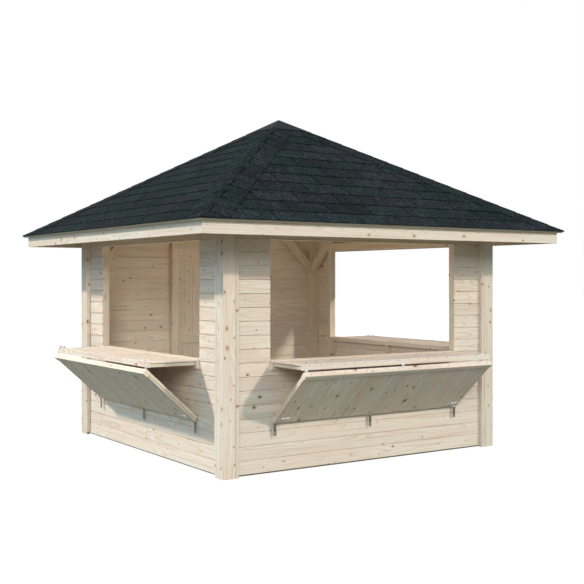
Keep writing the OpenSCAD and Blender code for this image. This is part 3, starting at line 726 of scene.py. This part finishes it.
def hip_caps(mesh, underlay_and_slot_shade, place, mirror):
    """One side of the caps over a hip. They lap up the hip, and every other one has a slot."""
    c = math.cos(SLOPE)
    along = Vector((1.0, -1.0 / c)).normalized()
    across = Vector((along.y, -along.x))
    corner = Vector((ROOF_R, 0.0))
    reach = (ROOF_R - CAP_R + CAP_UNDER) / along.x

    def outline(t0, t1, w0, w1):
        quad = [tuple(corner - along * t + across * w)
                for t, w in ((t0, w0), (t1, w0), (t1, w1), (t0, w1))]
        return [(mirror * u, s) for u, s in in_roof(quad, eave=EDGE_IN)]

    for k in range(math.ceil(reach / CAP_STEP)):
        t0, t1 = k * CAP_STEP, min((k + 1) * CAP_STEP + TAB_LAP, reach)
        wide = CAP_W + rng.uniform(-CAP_UNEVEN, CAP_UNEVEN)
        parts = [(0.0, wide)]
        if k % 2:
            slot_end = CAP_SLOT_AT + CAP_SLOT
            parts = [(0.0, CAP_SLOT_AT), (slot_end, wide)]
            # painted shade: a strip of near-black felt over the tabs, showing in the slot
            slab(underlay_and_slot_shade, place, outline(t0, t0 + CAP_STEP, CAP_SLOT_AT, slot_end),
                 -SHINGLE_T, CAP_SLOT_SHADE_H)
        seed = rng.random()

        def over(u, s, t0=t0):
            t = (corner - Vector((mirror * u, s))).dot(along)
            return CAP_LIFT - (CAP_LIFT - CAP_TAIL) * min(1.0, (t - t0) / CAP_STEP)

        for w0, w1 in parts:
            slab(mesh, place, outline(t0, t1, w0, w1), -SHINGLE_T, over, seed)


def roof():
    """Boards and shingles on all four sides, on near-black felt that shows in the slots as painted
    shade.
    """
    underlay_and_slot_shade, tabs, caps = Mesh(), Mesh(), Mesh()
    for side in TURNS:
        roof_boards(side)
        place = on_roof(side)
        whole = box_2d((-ROOF_R, ROOF_R), (0.0, ROOF_R / math.cos(SLOPE)))
        slab(underlay_and_slot_shade, place, in_roof(whole, EDGE_IN), -SHINGLE_T, -SHINGLE_T + UNDERLAY_T)
        shingle_tabs(tabs, place)
        for mirror in (1, -1):
            hip_caps(caps, underlay_and_slot_shade, place, mirror)
    # the underlay, with the caps' slot strips of painted shade
    underlay_and_slot_shade.finish("roof_underlay", felt_and_slot_shade, slot="shingles", nodes=["roof_shingles"])
    tabs.finish("roof_tabs", shingles, slot="shingles")
    caps.finish("roof_hip_caps", shingles, slot="shingles")


# ---- Hatches ---------------------------------------------------------------

def nail(mesh, place, u, r, z, way):
    """A nail head on a face that looks outwards (way 1) or inwards (-1)."""
    turns = [2 * math.pi * i / NAIL_SIDES for i in range(NAIL_SIDES)]
    outline = [(u + NAIL_R * math.cos(a), z + NAIL_R * math.sin(a)) for a in turns]
    mesh.prism(place, "r", outline, (r - way * NAIL_DEEP, r + way * NAIL_PROUD))


def panel(name, place, body, node, edge, far, rail_w, nail_z):
    """Counter or strut: boards across it, a full-depth rail on the folding edge, a frame below.

    The edge rail lies at reach edge, and the panel's other end at reach far.
    """
    mesh, frame_mesh, nails = Mesh(), Mesh(), Mesh()
    way = 1 if far > edge else -1
    z_boards = PANEL_Z1 - PANEL_BOARD_T
    rail = sorted((edge, edge + way * rail_w))
    boards_r = sorted((edge + way * (rail_w + RAIL_GAP), far))
    far_r = sorted((far, far - way * STUD_W))
    mid_r = sorted((edge + way * (rail_w + TOUCH), far - way * (STUD_W + TOUCH)))
    count = round(2 * COUNTER_U / PANEL_PITCH)
    pitch = 2 * COUNTER_U / count
    for i in range(count):
        u0 = -COUNTER_U + i * pitch
        u = (u0 + (SEAM / 2 if i else 0), u0 + pitch - (SEAM / 2 if i < count - 1 else 0))
        sink = rng.uniform(SINK_FROM, 1.0) * BOARD_SINK
        mesh.board(place, "r", u, (z_boards + TOUCH, PANEL_Z1 - sink), boards_r, PANEL_CHAMFER)
        wander = rng.uniform(-NAIL_WANDER, NAIL_WANDER)
        nail(nails, place, u0 + pitch / 2 + wander, edge, nail_z, -way)
    mesh.board(place, "u", rail, (PANEL_Z0, PANEL_Z1), (-COUNTER_U, COUNTER_U), RAIL_CHAMFER)
    end = COUNTER_U - FRAME_INSET
    frame_z = (PANEL_Z0, z_boards - FRAME_GAP)
    frame_mesh.board(place, "u", far_r, frame_z, (-end, end))
    for u in ((-end, -end + STUD_W), (-STUD_W / 2, STUD_W / 2), (end - STUD_W, end)):
        frame_mesh.board(place, "r", u, frame_z, mid_r)
    mesh.finish(f"{name}_boards", panel_spruce, body, "spruce_boards", [node])
    frame_mesh.finish(f"{name}_frame", inner_spruce, body, "spruce_boards")
    nails.finish(f"{name}_nails", nail_steel, body, "zinc_steel")


def hatch(side):
    """The counter and its strut. The strut's ends, unfolded, are read from the frame."""
    panel(f"{side}_counter_panel", on_side(side), f"{side}_counter", f"{side}_counter",
          COUNTER_OUT, COUNTER_IN, COUNTER_RAIL_W, PANEL_Z1 - COUNTER_NAIL_DROP)
    folded = [(-v.co.y - HALF - FOLD_R, v.co.z - FOLD_Z)
              for v in frame["nodes"]["front_strut"].data.vertices]
    reaches = [FOLD_R + r * math.cos(FOLD) - z * math.sin(FOLD) for r, z in folded]
    panel(f"{side}_strut_panel", on_strut(side), f"{side}_strut", f"{side}_strut",
          min(reaches), max(reaches), STRUT_RAIL_W, (PANEL_Z0 + PANEL_Z1) / 2)


# ---- Door ------------------------------------------------------------------

def door():
    """Vertical boards outside, and a frame with three rails inside."""
    place = on_side("back")
    boards, timbers = Mesh(), Mesh()
    u0, u1 = -high("door_leaf").x, -low("door_leaf").x
    z0, z1 = low("door_leaf").z, high("door_leaf").z
    inner = low("door_leaf").y - HALF
    count = round((u1 - u0) / DOOR_PITCH)
    pitch = (u1 - u0) / count
    for i in range(count):
        u = (u0 + i * pitch + SEAM / 2, u0 + (i + 1) * pitch - SEAM / 2)
        boards.board(place, "z", u, (CLAD_BACK, CLAD_FACE), (z0, z1), RAIL_CHAMFER)
    depth = (inner, CLAD_BACK - TOUCH)
    for u in ((u0, u0 + STILE_W), (u1 - STILE_W, u1)):
        timbers.board(place, "z", u, depth, (z0, z1))
    between = (u0 + STILE_W + DOOR_RAIL_GAP, u1 - STILE_W - DOOR_RAIL_GAP)
    for z in ((z0, z0 + DOOR_RAIL_H), (DOOR_MID_Z, DOOR_MID_Z + DOOR_RAIL_H),
              (z1 - DOOR_TOP_H, z1)):
        timbers.board(place, "u", depth, z, between)
    boards.finish("door_boards", spruce, "door", "spruce_boards", ["door_leaf"])
    timbers.finish("door_leaf_frame", inner_spruce, "door", "inner_timber")


# ---- The rest of the frame's pieces ----------------------------------------

def dressed_pieces():
    """Materials and soft edges for the nodes that keep the CAD's own shape."""
    for node in ("corner_posts", "knee_braces", "wall_plates", "hip_rafters", "rafters",
                 "king_block"):
        dress_timber(node, inner_spruce)
    for node in ("window_sills", "counter_ledgers", "door_frame"):
        dress_timber(node, spruce)
    dress_timber("fascia_boards", knotty_spruce)
    dress_timber("base_frame", base_wood)
    for node in ("apex_cap", "door_handle"):
        dress(node, dark_coat, COAT_BEVEL)
    for node in ("door_hinges", "door_hinge_plates"):
        dress(node, zinc, HINGE_BEVEL)
    for side in HATCHES:
        dress(f"{side}_counter_fittings", zinc, BRACKET_BEVEL)
        dress(f"{side}_strut_fittings", zinc, BRACKET_BEVEL)
        dress(f"{side}_hasps", hasp_steel, HINGE_BEVEL)


# ---- Camera, light and floor -----------------------------------------------

def camera():
    """The photo's view, at eye level."""
    data = bpy.data.cameras.new("camera")
    data.sensor_width = SENSOR
    data.lens = LENS
    data.shift_y = SHIFT_Y
    obj = bpy.data.objects.new("camera", data)
    obj.location = EYE
    obj.rotation_euler = (math.pi / 2, 0.0, -AZIMUTH)
    bpy.context.scene.collection.objects.link(obj)
    bpy.context.scene.camera = obj
    bpy.context.scene.view_settings.view_transform = "Standard"


def sun(name, travel, strength, colour, angle):
    """A sun, by the direction in which its light travels."""
    data = bpy.data.lights.new(name, "SUN")
    data.energy = strength
    data.color = colour
    data.angle = math.radians(angle)
    obj = bpy.data.objects.new(name, data)
    obj.rotation_euler = Vector(travel).to_track_quat("-Z", "Y").to_euler()
    bpy.context.scene.collection.objects.link(obj)


def room_light():
    """A soft lamp in the middle of the room, for the light that white surroundings send in."""
    data = bpy.data.lights.new("room", "POINT")
    data.energy = ROOM_LIGHT
    data.shadow_soft_size = ROOM_LAMP_R
    data.color = ROOM_COLOUR
    obj = bpy.data.objects.new("room", data)
    obj.location = ROOM_LAMP
    bpy.context.scene.collection.objects.link(obj)


def seen_directly(nodes, links):
    """1 for rays from the camera and for those that metal reflects or glass lets through."""
    path = nodes.new("ShaderNodeLightPath").outputs
    value = path["Is Camera Ray"]
    for other in ("Is Glossy Ray", "Is Transmission Ray"):
        either = nodes.new("ShaderNodeMath")
        either.operation = "MAXIMUM"
        links.new(value, either.inputs[0])
        links.new(path[other], either.inputs[1])
        value = either.outputs[0]
    return value


def sky():
    """Cool light from the left and warm light from the right, behind a white background."""
    world = bpy.data.worlds.new("sky")
    bpy.context.scene.world = world
    world.use_nodes = True
    nodes, links = world.node_tree.nodes, world.node_tree.links
    nodes.clear()
    ambient = nodes.new("ShaderNodeBackground")
    way = nodes.new("ShaderNodeSeparateXYZ")
    links.new(nodes.new("ShaderNodeTexCoord").outputs["Generated"], way.inputs[0])
    side = nodes.new("ShaderNodeMapRange")
    side.inputs["From Min"].default_value = -1.0     # a direction's X goes from -1 to 1
    links.new(way.outputs["X"], side.inputs["Value"])
    blend = nodes.new("ShaderNodeMix")
    blend.data_type = "RGBA"
    links.new(side.outputs["Result"], blend.inputs[0])
    blend.inputs[MIX_A].default_value = (*SKY_LEFT, 1.0)
    blend.inputs[MIX_B].default_value = (*SKY_RIGHT, 1.0)
    links.new(blend.outputs[MIX_OUT], ambient.inputs["Color"])
    ambient.inputs["Strength"].default_value = SKY_STRENGTH
    white = nodes.new("ShaderNodeBackground")
    white.inputs["Color"].default_value = (*WHITE, 1.0)
    mix = nodes.new("ShaderNodeMixShader")
    output = nodes.new("ShaderNodeOutputWorld")
    links.new(seen_directly(nodes, links), mix.inputs[0])
    links.new(ambient.outputs[0], mix.inputs[1])
    links.new(white.outputs[0], mix.inputs[2])
    links.new(mix.outputs[0], output.inputs["Surface"])


def floor():
    """Dull ground that reflects little light upwards and itself looks white."""
    mesh = bpy.data.meshes.new("floor")
    w = FLOOR_HALF
    mesh.from_pydata([(-w, -w, 0), (w, -w, 0), (w, w, 0), (-w, w, 0)], [], [(0, 1, 2, 3)])
    obj = bpy.data.objects.new("floor", mesh)
    bpy.context.scene.collection.objects.link(obj)
    s = Shader("floor")
    s.put(s.surface.inputs["Base Color"], FLOOR_COLOUR)
    s.put(s.surface.inputs["Roughness"], 1.0)
    s.put(s.surface.inputs["Specular IOR Level"], 0.0)
    s.put(s.surface.inputs["Emission Color"], WHITE)
    glow = s.math("MULTIPLY", seen_directly(s.nodes, s.links), FLOOR_GLOW)
    s.put(s.surface.inputs["Emission Strength"], glow)
    mesh.materials.append(s.material)


for wall_side in TURNS:
    wall(wall_side)
corner_boards()
roof()
for hatch_side in HATCHES:
    hatch(hatch_side)
door()
dressed_pieces()
camera()
sky()
floor()
for sun_name, settings in SUNS.items():
    sun(sun_name, *settings)
room_light()
